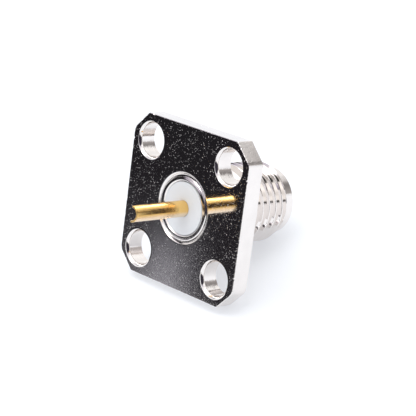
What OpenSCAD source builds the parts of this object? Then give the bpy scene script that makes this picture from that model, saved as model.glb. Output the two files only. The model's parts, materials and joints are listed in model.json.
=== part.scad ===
// Coaxial panel jack with a square four-hole flange, a threaded barrel and a solder cup.
// The flange and the barrel are one turned piece. An insulator is staked into its bore,
// and the centre contact runs through the insulator from the solder cup at the rear
// to the slotted socket at the front.
// The rear face of the flange lies on the XZ plane, the barrel runs along +Y, and +Z is up.

/* [Flange] */
// Side of the square flange
flange_side = 12.7; // [11.4:0.1:16]
// Thickness of the flange
flange_thickness = 1.5; // [1:0.1:3]
// Leg of the bevel that takes off each corner of the flange
corner_cut = 1.45; // [0.5:0.05:1.7]
// Distance from the centre of each mounting hole to the nearest sides of the flange
hole_inset = 2.03; // [1.9:0.01:2.6]
// Diameter of each mounting hole
hole_diameter = 2.6; // [2:0.1:2.8]
// Radius of the rounded rear rim of each mounting hole
hole_round = 0.2; // [0.05:0.05:0.3]

/* [Barrel] */
// Distance from the rear face of the flange to the front end of the barrel
front_reach = 9.5; // [8.5:0.1:16]
// Major diameter of the thread
thread_diameter = 6.35; // [6.2:0.05:7]
// Distance from one thread crest to the next
thread_pitch = 0.7056; // [0.5:0.0001:0.9]
// Included angle of the thread's flanks
thread_angle = 60; // [50:1:70]
// Diameter of the plain neck behind the thread
neck_diameter = 5.3; // [5:0.05:5.4]
// Length of the plain neck, from the flange to the thread's run-in bevel
neck_length = 2.45; // [0.5:0.05:3]
// Diameter of the plain nose in front of the thread
nose_diameter = 5.3; // [5.1:0.05:5.4]
// Length of the plain nose, from the thread's run-in bevel to the front end
nose_length = 0.85; // [0.4:0.05:1.2]
// Leg of the small bevels on the nose's outer and inner rims
nose_bevel = 0.1; // [0.05:0.01:0.15]

/* [Mating face] */
// Diameter of the front counterbore that takes the plug's sleeve
mating_diameter = 4.6; // [4.5:0.01:4.7]
// Depth of the mating face below the front end of the barrel
mating_depth = 1.9; // [1.5:0.05:2.5]

/* [Staked rim] */
// Width of the flat lip between the bore's rim bevel and the staking groove
lip_width = 0.27; // [0.1:0.01:0.4]
// Leg of the bevel on the lip's inner rim
lip_bevel = 0.14; // [0.05:0.01:0.2]
// Width of the staking groove's inner wall, which leans the lip on the insulator
groove_inner_run = 0.13; // [0.1:0.01:0.4]
// Width of the staking groove's outer wall
groove_outer_run = 0.16; // [0.05:0.01:0.4]
// Depth of the staking groove
groove_depth = 0.2; // [0.05:0.01:0.5]

/* [Insulator] */
// Diameter of the insulator
insulator_diameter = 4.1; // [3.6:0.01:4.3]
// Depth of the insulator's rear face below the rear face of the flange
insulator_recess = 0.1; // [0:0.01:0.5]

/* [Contact] */
// Diameter of the centre contact
contact_diameter = 1.27; // [1.2:0.01:1.5]
// Distance that the solder cup stands out behind the flange
cup_reach = 5.1; // [3:0.1:10]
// Inner diameter of the solder cup
cup_diameter = 0.97; // [0.7:0.01:1]
// Depth of the solder cup
cup_depth = 2.9; // [1.5:0.1:3]
// Length over which half of the solder cup is cut away
cup_cut = 2.2; // [1:0.1:2.5]
// Inner diameter of the front socket
socket_diameter = 0.94; // [0.7:0.01:1]
// Depth of the front socket
socket_depth = 2.7; // [2:0.1:3.5]
// Width of the four slots that part the socket into fingers
slot_width = 0.15; // [0.1:0.01:0.2]
// Length of the slots
slot_length = 1.9; // [1:0.1:2]
// Depth of the socket's front end below the mating face
contact_recess = 0.1; // [0:0.01:0.25]
// Leg of the bevels on the socket's mouth and on the contact's outer front rim
mouth_bevel = 0.08; // [0.02:0.01:0.1]
// Height of the retaining collar above the contact
collar_height = 0.12; // [0.05:0.01:0.3]
// Length of the retaining collar
collar_length = 0.6; // [0.4:0.1:1]
// Distance from the rear face of the flange to the retaining collar
collar_place = 2.4; // [0.5:0.1:3]

/* [Fits] */
// Gap all round between the insulator and the bore
bore_gap = 0.01; // [0:0.005:0.03]
// Gap all round between the contact and the insulator
contact_gap = 0.01; // [0:0.005:0.03]
// Room round the socket's fingers, so that they can spread
finger_room = 0.06; // [0.02:0.01:0.15]

/* [Hidden] */
$fn = 96;

// Overrun of a cut past the face that it opens
overrun = 1;
// Straight steps that make up the quarter round of a hole's rim
rim_steps = 6;

// Radii
crest_r = thread_diameter / 2;
neck_r = neck_diameter / 2;
nose_r = nose_diameter / 2;
mating_r = mating_diameter / 2;
insulator_r = insulator_diameter / 2;
bore_r = insulator_r + bore_gap;
contact_r = contact_diameter / 2;
cup_r = cup_diameter / 2;
socket_r = socket_diameter / 2;

// Thread form: flat crests an eighth of the pitch wide, flanks at half the included angle
thread_depth = 0.6134 * thread_pitch;
crest_flat = thread_pitch / 8;
flank_run = thread_depth * tan(thread_angle / 2);
root_r = crest_r - thread_depth;

// Stations along the barrel, from the rear face of the flange
thread_rear = flange_thickness + neck_length;
first_crest = thread_rear + crest_r - neck_r;
thread_front = front_reach - nose_length;
last_crest = thread_front - (crest_r - nose_r);
mating_face = front_reach - mating_depth;
contact_front = mating_face - contact_recess;
groove_count = floor((last_crest - first_crest - crest_flat) / thread_pitch);

// Radii of the staking groove in the rear face
groove_inner_r = bore_r + lip_bevel + lip_width;
groove_bottom_r = groove_inner_r + groove_inner_run;
groove_outer_r = groove_bottom_r + groove_outer_run;

// Depth of a drill point of 118 degrees
function drill_point(r) = r / tan(59);

// Turns a radius and station profile round the barrel's axis, which is +Y
module turned(profile) {
    rotate([-90, 0, 0])
        rotate_extrude()
            polygon(profile);
}

// The four places of the mounting holes
module at_holes() {
    place = flange_side / 2 - hole_inset;
    for (x = [-1, 1], z = [-1, 1])
        translate([x * place, 0, z * place])
            children();
}

// Square plate with its corners cut off
module flange_plate() {
    half = flange_side / 2;
    cut = half - corner_cut;
    rotate([-90, 0, 0])
        linear_extrude(flange_thickness)
            polygon([
                [-cut, -half], [cut, -half], [half, -cut], [half, cut],
                [cut, half], [-cut, half], [-half, cut], [-half, -cut]
            ]);
}

// One V groove of the thread, counted from the front, as points from rear to front
function thread_groove(k) =
    let (
        front = last_crest - crest_flat - k * thread_pitch,
        rear = front - (thread_pitch - crest_flat)
    ) [
        [crest_r, rear],
        [root_r, rear + flank_run],
        [root_r, front - flank_run],
        [crest_r, front]
    ];

// Outer form of the barrel: neck, thread ridges and nose
module barrel() {
    grooves = [for (k = [groove_count - 1:-1:0]) each thread_groove(k)];
    turned(concat(
        [
            [0, flange_thickness / 2],
            [neck_r, flange_thickness / 2],
            [neck_r, thread_rear],
            [crest_r, first_crest]
        ],
        grooves,
        [
            [crest_r, last_crest],
            [nose_r, thread_front],
            [nose_r, front_reach - nose_bevel],
            [nose_r - nose_bevel, front_reach],
            [0, front_reach]
        ]
    ));
}

// Bore for the insulator with the front counterbore and its bevelled rims
module bore_cut() {
    turned([
        [0, -overrun],
        [bore_r + lip_bevel, -overrun],
        [bore_r + lip_bevel, 0],
        [bore_r, lip_bevel],
        [bore_r, mating_face],
        [mating_r, mating_face],
        [mating_r, front_reach - nose_bevel],
        [mating_r + nose_bevel, front_reach],
        [mating_r + nose_bevel, front_reach + overrun],
        [0, front_reach + overrun]
    ]);
}

// Ring groove struck into the rear face, which pushes the lip against the insulator
module staking_cut() {
    turned([
        [groove_inner_r, -overrun],
        [groove_outer_r, -overrun],
        [groove_outer_r, 0],
        [groove_bottom_r, groove_depth],
        [groove_inner_r, 0]
    ]);
}

// Quarter round that rolls from the rear face into a hole, as points from the face inwards
function rolled_rim(r, round_r) = [
    for (step = [0:rim_steps])
        let (turn = 90 * step / rim_steps)
            [r + round_r * (1 - sin(turn)), round_r * (1 - cos(turn))]
];

// Mounting hole through the flange, with a rounded rim at the rear face
module hole_cut() {
    hole_r = hole_diameter / 2;
    turned(concat(
        [
            [0, -overrun],
            [hole_r + hole_round, -overrun]
        ],
        rolled_rim(hole_r, hole_round),
        [
            [hole_r, flange_thickness + overrun],
            [0, flange_thickness + overrun]
        ]
    ));
}

// Flange and threaded barrel, turned and milled from one bar
module flanged_body() {
    color("silver")
        difference() {
            union() {
                flange_plate();
                barrel();
            }
            bore_cut();
            staking_cut();
            at_holes() hole_cut();
        }
}

// Insulator with a passage for the contact, a seat for its collar and room for its fingers
module insulator() {
    passage_r = contact_r + contact_gap;
    seat_r = passage_r + collar_height;
    seat_rear = collar_place - contact_gap;
    seat_front = collar_place + collar_length + contact_gap;
    relief_r = contact_r + finger_room;
    relief_rear = contact_front - slot_length;
    color("whitesmoke")
        turned([
            [passage_r, insulator_recess],
            [insulator_r, insulator_recess],
            [insulator_r, mating_face],
            [relief_r, mating_face],
            [relief_r, relief_rear],
            [passage_r, relief_rear],
            [passage_r, seat_front],
            [seat_r, seat_front - collar_height],
            [seat_r, seat_rear],
            [passage_r, seat_rear]
        ]);
}

// Drilled solder cup, open along one half at its end
module cup_cut_out() {
    cup_bottom = cup_depth - cup_reach;
    turned([
        [0, -cup_reach - overrun],
        [cup_r, -cup_reach - overrun],
        [cup_r, cup_bottom],
        [0, cup_bottom + drill_point(cup_r)]
    ]);
    translate([-contact_diameter, -cup_reach - overrun, -contact_diameter])
        cube([contact_diameter, cup_cut + overrun, 2 * contact_diameter]);
}

// Drilled socket with a bevelled mouth and crossed slots
module socket_cut_out() {
    socket_bottom = contact_front - socket_depth;
    turned([
        [0, contact_front + overrun],
        [socket_r + mouth_bevel, contact_front + overrun],
        [socket_r + mouth_bevel, contact_front],
        [socket_r, contact_front - mouth_bevel],
        [socket_r, socket_bottom],
        [0, socket_bottom - drill_point(socket_r)]
    ]);
    for (turn = [45, 135])
        rotate([0, turn, 0])
            translate([-slot_width / 2, contact_front - slot_length, -contact_diameter])
                cube([slot_width, slot_length + overrun, 2 * contact_diameter]);
}

// Centre contact, from the solder cup at the rear to the slotted socket at the front
module centre_contact() {
    collar_front = collar_place + collar_length;
    color("gold")
        difference() {
            turned([
                [0, -cup_reach],
                [contact_r, -cup_reach],
                [contact_r, collar_place],
                [contact_r + collar_height, collar_place],
                [contact_r + collar_height, collar_front - collar_height],
                [contact_r, collar_front],
                [contact_r, contact_front - mouth_bevel],
                [contact_r - mouth_bevel, contact_front],
                [0, contact_front]
            ]);
            cup_cut_out();
            socket_cut_out();
        }
}

flanged_body();
insulator();
centre_contact();
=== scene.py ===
import json
import math

import bmesh
import bpy
from bpy.props import FloatProperty, FloatVectorProperty, IntProperty, PointerProperty
from mathutils import Matrix, Vector, noise
from mathutils.geometry import delaunay_2d_cdt


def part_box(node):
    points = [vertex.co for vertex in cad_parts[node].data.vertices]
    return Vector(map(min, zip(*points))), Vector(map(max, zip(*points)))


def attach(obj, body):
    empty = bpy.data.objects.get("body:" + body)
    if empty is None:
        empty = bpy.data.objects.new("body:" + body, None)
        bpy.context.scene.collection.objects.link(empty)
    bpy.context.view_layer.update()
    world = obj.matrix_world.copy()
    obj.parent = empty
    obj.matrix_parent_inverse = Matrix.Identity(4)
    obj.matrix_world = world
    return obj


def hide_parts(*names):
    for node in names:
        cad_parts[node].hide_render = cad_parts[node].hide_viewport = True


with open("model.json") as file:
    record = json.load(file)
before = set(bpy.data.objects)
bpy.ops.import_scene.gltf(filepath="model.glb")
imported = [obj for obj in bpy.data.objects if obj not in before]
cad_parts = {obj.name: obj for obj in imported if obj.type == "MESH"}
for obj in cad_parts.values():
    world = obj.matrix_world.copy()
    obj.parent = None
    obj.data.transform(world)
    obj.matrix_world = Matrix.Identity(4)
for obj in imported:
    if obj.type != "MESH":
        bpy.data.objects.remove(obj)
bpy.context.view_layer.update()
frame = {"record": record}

bl_info = {
    "name": "Coaxial Panel Jack",
    "version": (1, 0, 0),
    "blender": (4, 5, 0),
    "location": "3D View > Sidebar > Panel Jack",
    "description": "Builds a flanged coaxial jack with its plated finishes and a plain studio",
    "category": "Add Mesh",
}

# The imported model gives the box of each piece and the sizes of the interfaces
BODY_LOW, BODY_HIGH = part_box("flanged_body")
INSULATOR_LOW, INSULATOR_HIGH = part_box("insulator")
CONTACT_LOW, CONTACT_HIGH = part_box("centre_contact")
MOUNTS = {mount["name"]: mount["dims"] for mount in frame["record"]["mounts"]}
HOLES, THREAD, COUNTERBORE, SOCKET = (
    MOUNTS[name] for name in ("flange_holes", "coupling_thread", "plug_counterbore", "contact_socket")
)

MM = 0.001
TURN = 2 * math.pi
# Points that lie closer than this are welded into one
WELD = 4e-7
# Radius of the contact, from which its collar stands out
CONTACT_RADIUS = 0.635 * MM


def length(name, description, default):
    """A length in metres, shown in the scene's units."""
    return FloatProperty(
        name=name,
        description=description,
        default=default,
        min=0,
        precision=6,
        unit="LENGTH",
        subtype="DISTANCE",
    )


def colour(name, description, default):
    """A colour in linear light."""
    return FloatVectorProperty(
        name=name, description=description, default=default, size=3, min=0, max=1, subtype="COLOR"
    )


def whole(name, description, default):
    """A whole number of points or rows."""
    return IntProperty(name=name, description=description, default=default, min=8)


def number(name, description, default):
    """A plain number that isn't negative."""
    return FloatProperty(name=name, description=description, default=default, min=0)


def share(name, description, default):
    """A plain number from 0 to 1."""
    return FloatProperty(name=name, description=description, default=default, min=0, max=1, subtype="FACTOR")


def angle(name, description, degrees):
    """An angle, kept in radians."""
    return FloatProperty(name=name, description=description, default=math.radians(degrees), subtype="ANGLE")


class FlangeSettings(bpy.types.PropertyGroup):
    """Sizes of the square flange with its screw holes."""

    side: length("Side", "Side of the square flange", BODY_HIGH.x - BODY_LOW.x)
    thickness: length("Thickness", "Thickness of the flange", 1.5 * MM)
    corner_cut: length("Corner cut", "Leg of the bevel that takes off each corner", 1.45 * MM)
    corner_round: length("Corner round", "Radius where the bevels meet the top and bottom", 0.06 * MM)
    side_round: length("Side round", "Radius where the bevels roll over into the sides", 0.8 * MM)
    hole_spacing: length("Hole spacing", "Distance between hole centres", HOLES["spacing_x_mm"] * MM)
    hole_radius: length("Hole radius", "Radius of each screw hole", HOLES["hole_r_mm"] * MM)
    hole_round: length("Hole round", "Radius of the rounded rear rim of each hole", 0.2 * MM)
    hole_roll: share("Hole roll", "How far the rims are rolled, from a flat bevel to a quarter round", 0.25)
    hole_burr: length("Hole burr", "Height of the fine burr round each hole's rear rim", 0.009 * MM)
    edge_break: length("Edge break", "Mean width of the broken edge round the faces", 0.035 * MM)
    edge_step: length("Edge step", "Spacing of the points along the rim", 0.05 * MM)
    burr: length("Burr", "Largest bite of the small nicks along the rim", 0.11 * MM)
    hole_sides: whole("Hole sides", "Points round each hole", 96)


class BarrelSettings(bpy.types.PropertyGroup):
    """Sizes of the threaded barrel, its bore and the staked rim."""

    reach: length("Reach", "Distance from the rear face to the front end", BODY_HIGH.y)
    thread_radius: length("Thread radius", "Major radius of the thread", THREAD["r_mm"] * MM)
    pitch: length("Pitch", "Distance from one thread crest to the next", 0.7056 * MM)
    flank_angle: angle("Flank angle", "Included angle of the thread's flanks", 60)
    thread_phase: angle("Thread phase", "Turn of the thread about the barrel", -71)
    thread_round: length("Thread round", "Rounding of the crests and roots", 0.015 * MM)
    neck_radius: length("Neck radius", "Radius of the plain neck behind the thread", 2.65 * MM)
    neck_length: length("Neck length", "Length of the plain neck", 2.45 * MM)
    nose_radius: length("Nose radius", "Radius of the plain nose", 2.65 * MM)
    nose_length: length("Nose length", "Length of the plain nose", 0.85 * MM)
    nose_bevel: length("Nose bevel", "Leg of the bevels on the nose's rims", 0.1 * MM)
    mating_radius: length("Mating radius", "Radius of the front counterbore", COUNTERBORE["r_mm"] * MM)
    mating_face: length("Mating face", "Station of the mating face", INSULATOR_HIGH.y)
    bore_gap: length("Bore gap", "Gap between the insulator and the bore", 0.01 * MM)
    lip_bevel: length("Lip bevel", "Leg of the bevel on the lip's inner rim", 0.14 * MM)
    lip_width: length("Lip width", "Width of the flat lip round the insulator", 0.27 * MM)
    lip_lean: angle("Lip lean", "Lean of the lip where the staking tool pressed hardest", 30)
    lip_far_lean: angle("Lip far lean", "Lean of the lip on the far side", 2.2)
    lip_bearing: angle("Lip bearing", "Bearing at which the staking tool pressed hardest", 80)
    groove_inner_run: length("Groove inner run", "Width of the staking groove's inner wall", 0.13 * MM)
    groove_outer_run: length("Groove outer run", "Width of the staking groove's outer wall", 0.16 * MM)
    groove_depth: length("Groove depth", "Depth of the staking groove", 0.2 * MM)
    stake_round: length("Stake round", "Rounding of the staked rim", 0.06 * MM)
    edge_round: length("Edge round", "Rounding of the turned edges", 0.03 * MM)
    sides: whole("Sides", "Points round the barrel", 192)
    pitch_rows: whole("Pitch rows", "Rows of faces across one pitch", 38)


class InsulatorSettings(bpy.types.PropertyGroup):
    """Sizes of the white insulator."""

    radius: length("Radius", "Outer radius of the insulator", INSULATOR_HIGH.x)
    bulge: length("Bulge", "How far the staking has squeezed the rear face out", 0.05 * MM)
    rear: length("Rear", "Station of the rear face before staking", INSULATOR_LOW.y)
    front: length("Front", "Station of the front face", INSULATOR_HIGH.y)
    passage_gap: length("Passage gap", "Gap between the contact and the insulator", 0.01 * MM)
    finger_room: length("Finger room", "Room round the contact's fingers", 0.06 * MM)
    edge_round: length("Edge round", "Rounding of the outer edges", 0.04 * MM)
    sides: whole("Sides", "Points round the insulator", 128)


class ContactSettings(bpy.types.PropertyGroup):
    """Sizes of the gold centre contact."""

    radius: length("Radius", "Radius of the contact", CONTACT_RADIUS)
    rear: length("Rear reach", "Distance that the cup stands out behind the flange", -CONTACT_LOW.y)
    front: length("Front", "Station of the socket's mouth", CONTACT_HIGH.y)
    cup_radius: length("Cup radius", "Inner radius of the solder cup", 0.485 * MM)
    cup_depth: length("Cup depth", "Depth of the solder cup", 2.9 * MM)
    cup_cut: length("Cup cut", "Length over which half of the cup is cut away", 2.2 * MM)
    socket_radius: length("Socket radius", "Inner radius of the socket", SOCKET["r_mm"] * MM)
    socket_depth: length("Socket depth", "Depth of the socket", 2.7 * MM)
    slot_width: length("Slot width", "Width of the slots between the fingers", 0.15 * MM)
    slot_length: length("Slot length", "Length of the slots", 1.9 * MM)
    mouth_bevel: length("Mouth bevel", "Leg of the bevels at the socket's mouth", 0.08 * MM)
    collar_height: length("Collar height", "Height of the retaining collar", CONTACT_HIGH.x - CONTACT_RADIUS)
    collar_length: length("Collar length", "Length of the retaining collar", 0.6 * MM)
    collar_place: length("Collar place", "Station of the collar's rear side", 2.4 * MM)
    edge_round: length("Edge round", "Rounding of the cut edges", 0.025 * MM)
    quarter_sides: whole("Quarter sides", "Points on a quarter turn", 24)


class FinishSettings(bpy.types.PropertyGroup):
    """Colours of the plated metals and the insulator."""

    nickel: colour("Nickel", "Colour of the nickel plate", (0.86, 0.822, 0.798))
    gold: colour("Gold", "Colour of the gold plate", (0.95, 0.62, 0.22))
    insulator: colour("Insulator", "Colour of the insulator", (0.79, 0.812, 0.85))


class StageSettings(bpy.types.PropertyGroup):
    """Camera, floor and studio light."""

    aim: FloatVectorProperty(
        name="Aim",
        description="Point that the camera looks at",
        default=(1.684 * MM, 1.046 * MM, 0.405 * MM),
        size=3,
        precision=6,
        subtype="TRANSLATION",
    )
    distance: length("Distance", "Distance from the aim to the camera", 124 * MM)
    azimuth: angle("Azimuth", "Turn of the camera about the upright", 44.906)
    elevation: angle("Elevation", "Height of the camera above the horizon", 13.858)
    roll: angle("Roll", "Roll of the camera about its line of sight", 7.414)
    lens: number("Lens", "Focal length in millimetres", 142.31)
    floor_size: length("Floor size", "Side of the floor", 3.0)
    floor: colour("Floor", "Colour of the floor", (0.62, 0.635, 0.664))
    lean: angle("Studio lean", "Lean of the studio's horizon as the jack mirrors it", 24.8)
    floor_lean: angle("Floor lean", "Slope of the floor on which the jack leans", 25.2)
    fill: number("Fill", "Even light from all round on plain surfaces", 0.85)
    key_power: number("Key power", "Power of the soft key light in watts", 0.9)


SETTINGS = {
    "jack_flange": FlangeSettings,
    "jack_barrel": BarrelSettings,
    "jack_insulator": InsulatorSettings,
    "jack_contact": ContactSettings,
    "jack_finish": FinishSettings,
    "jack_stage": StageSettings,
}


# Meshes


def new_object(name, data):
    """An object of this data, put into the scene."""
    made = bpy.data.objects.new(name, data)
    bpy.context.scene.collection.objects.link(made)
    return made


def around(radius, station, turn, centre=(0, 0)):
    """A point on a circle about an axis along Y. turn runs from 0 to 1."""
    return (centre[0] + radius * math.cos(TURN * turn), station, centre[1] + radius * math.sin(TURN * turn))


# Most of a leg that a rounded corner takes up, and how far past the arc's ends, as a share of what it takes,
# the points lie that keep the flats flat
LEG_SHARE = 0.4
FLAT_SHARE = 0.2


def rounded(profile, radius, steps=3):
    """A radius and station profile whose inner corners are rounded by short arcs."""
    points = [profile[0]]
    for before, corner, after in zip(profile, profile[1:], profile[2:]):
        corner = Vector(corner)
        back = Vector(before) - corner
        ahead = Vector(after) - corner
        cut = min(radius, LEG_SHARE * back.length, LEG_SHARE * ahead.length)
        start = corner + back.normalized() * cut
        end = corner + ahead.normalized() * cut
        points.append(tuple(start + back.normalized() * FLAT_SHARE * cut))
        for step in range(steps + 1):
            t = step / steps
            points.append(tuple((1 - t) ** 2 * start + 2 * t * (1 - t) * corner + t**2 * end))
        points.append(tuple(end + ahead.normalized() * FLAT_SHARE * cut))
    points.append(profile[-1])
    return points


def rolled_rim(start, end, roll, steps=8):
    """Radius and station profile of a hole's rim, from a flat bevel at roll 0 to a quarter round at 1."""
    points = []
    for step in range(steps + 1):
        t = step / steps
        inwards = (1 - roll) * t + roll * math.sin(TURN / 4 * t)
        down = (1 - roll) * t + roll * (1 - math.cos(TURN / 4 * t))
        points.append((start[0] + (end[0] - start[0]) * inwards, start[1] + (end[1] - start[1]) * down))
    return points


# How a flat face is cut into triangles: only inside its outline, with points this close in millimetres taken
# as one, and with what lies inside this share of an opening's radius left out
INSIDE_ONLY = 1
NEAR = 1e-7
OPENING_SHARE = 0.9999


class Skin:
    """Points and faces of one piece, gathered before they become a mesh."""

    def __init__(self):
        self.points = []
        self.faces = []
        self.finishes = []

    def loop(self, points):
        first = len(self.points)
        self.points.extend(points)
        return list(range(first, len(self.points)))

    def arc(self, radius, station, turns, centre=(0, 0)):
        """A loop of points on a circle about an axis along Y, at these turns."""
        return self.loop([around(radius, station, turn, centre) for turn in turns])

    def face(self, corners, finish=0):
        self.faces.append(tuple(corners))
        self.finishes.append(finish)

    def strip(self, first, second, finish=0, closed=True):
        """Quads between two loops with as many points. finish is one number, or one for each quad."""
        count = len(first)
        quads = count if closed else count - 1
        finishes = [finish] * quads if isinstance(finish, int) else finish
        for k in range(quads):
            nxt = (k + 1) % count
            self.face((first[k], first[nxt], second[nxt], second[k]), finishes[k])

    def rows(self, loops, finish=0, closed=True):
        """Strips between each loop and the next."""
        for first, second in zip(loops, loops[1:]):
            self.strip(first, second, finish, closed)

    def turned(self, profile, sides, finish=0, centre=(0, 0)):
        """Rings along a radius and station profile, joined by strips."""
        turns = [k / sides for k in range(sides)]
        rings = [self.arc(radius, station, turns, centre) for radius, station in profile]
        self.rows(rings, finish)
        return rings

    def cap(self, ring, tip):
        """Triangles from a ring to a point."""
        centre = self.loop([tip])[0]
        for k, corner in enumerate(ring):
            self.face((corner, ring[(k + 1) % len(ring)], centre))

    def plate(self, outline, openings, finish):
        """Triangles over a flat face across Y, between its outline and its openings."""

        def flat(loop):
            return [Vector((self.points[i][0], self.points[i][2])) / MM for i in loop]

        def middle(spots):
            return sum(spots, Vector((0, 0))) / len(spots)

        index, edges = [], []
        for loop in (outline, *openings):
            first, count = len(index), len(loop)
            edges += [(first + k, first + (k + 1) % count) for k in range(count)]
            index += loop
        face = list(range(len(outline)))
        spots, _, triangles, origins, _, _ = delaunay_2d_cdt(flat(index), edges, [face], INSIDE_ONLY, NEAR)
        holes = []
        for ring in map(flat, openings):
            centre = middle(ring)
            holes.append((centre, OPENING_SHARE * (ring[0] - centre).length))
        for triangle in triangles:
            spot = middle([spots[i] for i in triangle])
            if all((spot - centre).length > radius for centre, radius in holes):
                self.face([index[origins[i][0]] for i in triangle], finish)

    def piece(self, name, materials, extra=None, crease=35):
        """The finished object, welded and with its faces pointing outwards."""
        mesh = bpy.data.meshes.new(name)
        mesh.from_pydata(self.points, [], self.faces)
        mesh.polygons.foreach_set("material_index", self.finishes)
        shell = bmesh.new()
        shell.from_mesh(mesh)
        if extra:
            shell.from_mesh(extra)
        bmesh.ops.remove_doubles(shell, verts=shell.verts, dist=WELD)
        bmesh.ops.dissolve_degenerate(shell, edges=shell.edges, dist=WELD / 4)
        bmesh.ops.recalc_face_normals(shell, faces=shell.faces)
        if shell.calc_volume(signed=True) < 0:
            bmesh.ops.reverse_faces(shell, faces=shell.faces)
        open_edges = sum(1 for edge in shell.edges if not edge.is_manifold)
        if open_edges:
            raise RuntimeError(f"{name} has {open_edges} open or doubled edges")
        shell.to_mesh(mesh)
        shell.free()
        mesh.polygons.foreach_set("use_smooth", [True] * len(mesh.polygons))
        mesh.set_sharp_from_angle(angle=math.radians(crease))
        for material in materials:
            mesh.materials.append(material)
        return new_object(name, mesh)


# Node trees


class Wires:
    """Adds nodes to a tree and links them as they are made."""

    def __init__(self, tree):
        self.tree = tree

    def node(self, kind, inputs=(), **settings):
        """A node with its settings, and its inputs given by name or place as links or values."""
        made = self.tree.nodes.new(kind)
        for key, value in settings.items():
            setattr(made, key, value)
        for key, value in dict(inputs).items():
            if isinstance(value, bpy.types.NodeSocket):
                self.link(value, made.inputs[key])
            else:
                made.inputs[key].default_value = value
        return made

    def link(self, value, socket):
        self.tree.links.new(value, socket)

    def math(self, operation, first, second=0.0, third=0.0):
        return self.node("ShaderNodeMath", {0: first, 1: second, 2: third}, operation=operation).outputs[0]

    def remap(self, value, low, high, to_low=0.0, to_high=1.0, kind="LINEAR"):
        inputs = {0: value, 1: low, 2: high, 3: to_low, 4: to_high}
        return self.node("ShaderNodeMapRange", inputs, interpolation_type=kind).outputs[0]

    def axes(self, vector):
        return self.node("ShaderNodeSeparateXYZ", {0: vector}).outputs

    def join(self, x, y, z):
        return self.node("ShaderNodeCombineXYZ", {0: x, 1: y, 2: z}).outputs[0]

    def vector(self, operation, first, second=(0, 0, 0)):
        return self.node("ShaderNodeVectorMath", {0: first, 1: second}, operation=operation)

    def grain(self, vector, scale, detail=2.0, roughness=0.5):
        inputs = {"Vector": vector, "Scale": scale, "Detail": detail, "Roughness": roughness}
        return self.node("ShaderNodeTexNoise", inputs).outputs[0]

    def mix(self, factor, first, second):
        """Mixes two colours."""
        return self.node("ShaderNodeMix", {0: factor, 6: first, 7: second}, data_type="RGBA").outputs[2]


def new_group(name, kind, inputs, outputs):
    """An empty node group with named sockets, and its input and output nodes."""
    tree = bpy.data.node_groups.new(name, kind)
    for socket, label, default in inputs:
        made = tree.interface.new_socket(label, in_out="INPUT", socket_type=socket)
        if default is not None:
            made.default_value = default
    for socket, label in outputs:
        tree.interface.new_socket(label, in_out="OUTPUT", socket_type=socket)
    return tree, tree.nodes.new("NodeGroupInput").outputs, tree.nodes.new("NodeGroupOutput").inputs


# The thread


# Sizes and counts that the thread's tree is given
THREAD_SIZES = (
    "Pitch", "Crest Radius", "Root Radius", "Crest Flat", "Flank Slope", "Rounding",
    "Rear Station", "Front Station", "Rear Radius", "Front Radius", "Phase",
)
THREAD_COUNTS = ("Turns", "Sides", "Rows")


def thread_tree():
    """A thread between two circles: a sheet wound along a helix, its radius set by the thread's form."""
    inputs = [("NodeSocketFloat", label, None) for label in THREAD_SIZES]
    inputs += [("NodeSocketInt", label, None) for label in THREAD_COUNTS]
    inputs.append(("NodeSocketMaterial", "Material", None))
    outputs = [("NodeSocketGeometry", "Geometry")]
    tree, given, result = new_group("Wound Thread", "GeometryNodeTree", inputs, outputs)
    wires = Wires(tree)
    columns = wires.math("MULTIPLY_ADD", given["Turns"], given["Sides"], 1)
    rows = wires.math("ADD", given["Rows"], 1)
    sheet = wires.node(
        "GeometryNodeMeshGrid",
        {"Size X": given["Turns"], "Size Y": 1.0, "Vertices X": columns, "Vertices Y": rows},
    ).outputs[0]
    place = wires.axes(wires.node("GeometryNodeInputPosition").outputs[0])
    turn = wires.math("MULTIPLY_ADD", given["Turns"], 0.5, place[0])
    across = wires.math("MULTIPLY", place[1], given["Pitch"])

    # The form across one pitch: a flat crest, straight flanks and a flat root, with rounded corners
    half_flat = wires.math("MULTIPLY", given["Crest Flat"], 0.5)
    past_flat = wires.math("SUBTRACT", half_flat, wires.math("ABSOLUTE", across))
    flank = wires.math("MULTIPLY_ADD", past_flat, given["Flank Slope"], given["Crest Radius"])
    above_root = wires.math("SMOOTH_MAX", flank, given["Root Radius"], given["Rounding"])
    form = wires.math("SMOOTH_MIN", above_root, given["Crest Radius"], given["Rounding"])

    # The station along the barrel, and the bevels that end the thread
    start = wires.math("MULTIPLY_ADD", given["Pitch"], -0.5, given["Rear Station"])
    wound = wires.math("MULTIPLY_ADD", turn, given["Pitch"], start)
    station = wires.math("ADD", wound, across)
    from_rear = wires.math("MAXIMUM", wires.math("SUBTRACT", station, given["Rear Station"]), 0)
    to_front = wires.math("MAXIMUM", wires.math("SUBTRACT", given["Front Station"], station), 0)
    run_in = wires.math("ADD", from_rear, given["Rear Radius"])
    run_out = wires.math("ADD", to_front, given["Front Radius"])
    radius = wires.math("MINIMUM", form, wires.math("MINIMUM", run_in, run_out))
    not_behind = wires.math("MAXIMUM", station, given["Rear Station"])
    kept = wires.math("MINIMUM", not_behind, given["Front Station"])

    bearing = wires.math("MULTIPLY_ADD", turn, -TURN, given["Phase"])
    spot = wires.join(
        wires.math("MULTIPLY", radius, wires.math("COSINE", bearing)),
        kept,
        wires.math("MULTIPLY", radius, wires.math("SINE", bearing)),
    )
    wound_sheet = wires.node("GeometryNodeSetPosition", {"Geometry": sheet, "Position": spot}).outputs[0]
    welded = wires.node("GeometryNodeMergeByDistance", {"Geometry": wound_sheet, "Distance": WELD}).outputs[0]
    real = wires.node("GeometryNodeRealizeInstances", {0: welded}).outputs[0]
    plated = wires.node("GeometryNodeSetMaterial", {"Geometry": real, "Material": given["Material"]})
    wires.link(plated.outputs[0], result[0])
    return tree


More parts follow.
